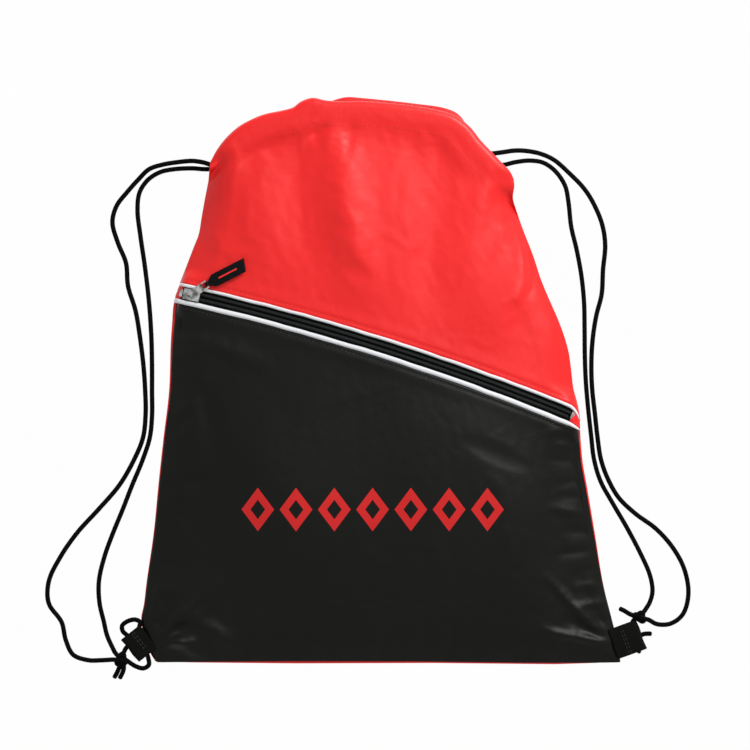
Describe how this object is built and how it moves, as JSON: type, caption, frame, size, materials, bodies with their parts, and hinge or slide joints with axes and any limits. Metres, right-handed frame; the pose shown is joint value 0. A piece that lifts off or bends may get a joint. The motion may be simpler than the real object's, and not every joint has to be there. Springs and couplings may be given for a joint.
{
  "type": "drawstring backpack",
  "caption": "Flat drawstring backpack with a gathered mouth, looped shoulder cords tied to corner tabs, and a slanted zip pocket on the front.",
  "frame": {"origin": "middle of the bag's footprint without its cords, on the surface that it lies on", "axes": "+Y towards the mouth, +Z out of the front face, +X to the right seen from the front"},
  "size_m": [0.4753, 0.4221, 0.0276],
  "materials": {
    "red_fabric": "smooth satin polyester",
    "black_fabric": "smooth satin polyester",
    "white_piping": "smooth piping",
    "zip_tape": "herringbone tape",
    "zip_coil": "nylon coil",
    "nickel": "plated",
    "ribbon": "woven ribbon",
    "webbing": "woven webbing",
    "cord": "braided"
  },
  "bodies": {
    "root": {"back_panel": "red_fabric", "front_upper_panel": "red_fabric", "pocket_panel": "black_fabric", "pocket_lining": "black_fabric", "front_hem_channel": "red_fabric", "back_hem_channel": "red_fabric", "left_side_seam": "red_fabric", "right_side_seam": "red_fabric", "bottom_seam": "black_fabric", "upper_piping": "white_piping", "lower_piping": "white_piping", "upper_zip_tape": "zip_tape", "lower_zip_tape": "zip_tape", "upper_zip_coil": "zip_coil", "lower_zip_coil": "zip_coil", "left_zip_stop": "nickel", "right_zip_stop": "nickel", "left_zip_end_cover": "red_fabric", "right_zip_end_cover": "red_fabric", "left_corner_tab": "webbing", "right_corner_tab": "webbing", "left_knot": "cord", "right_knot": "cord", "left_cord_outer_strand": "cord", "left_cord_inner_strand": "cord", "right_cord_outer_strand": "cord", "right_cord_inner_strand": "cord", "left_cord_channel_run": "cord", "right_cord_channel_run": "cord"},
    "slider": {"zip_slider": "nickel"},
    "pull": {"zip_pull": "nickel"},
    "ribbon": {"pull_ribbon": "ribbon"}
  },
  "joints": [
    {"name": "zip_travel", "type": "hinge", "parent": "root", "child": "slider", "pos_m": [-0.13743, -0.40391, -0.76279], "axis": [0.2609, 0.8276, -0.497], "range_deg": [0, 18.1]},
    {"name": "pull_lift", "type": "hinge", "parent": "slider", "child": "pull", "pos_m": [-0.14114, 0.06316, 0.01734], "axis": [0.547, -0.8307, 0.1036], "range_deg": [0, 120]},
    {"name": "ribbon_swing", "type": "hinge", "parent": "pull", "child": "ribbon", "pos_m": [-0.12957, 0.07094, 0.01861], "axis": [0.547, -0.8307, 0.1036], "range_deg": [0, 40]}
  ]
}
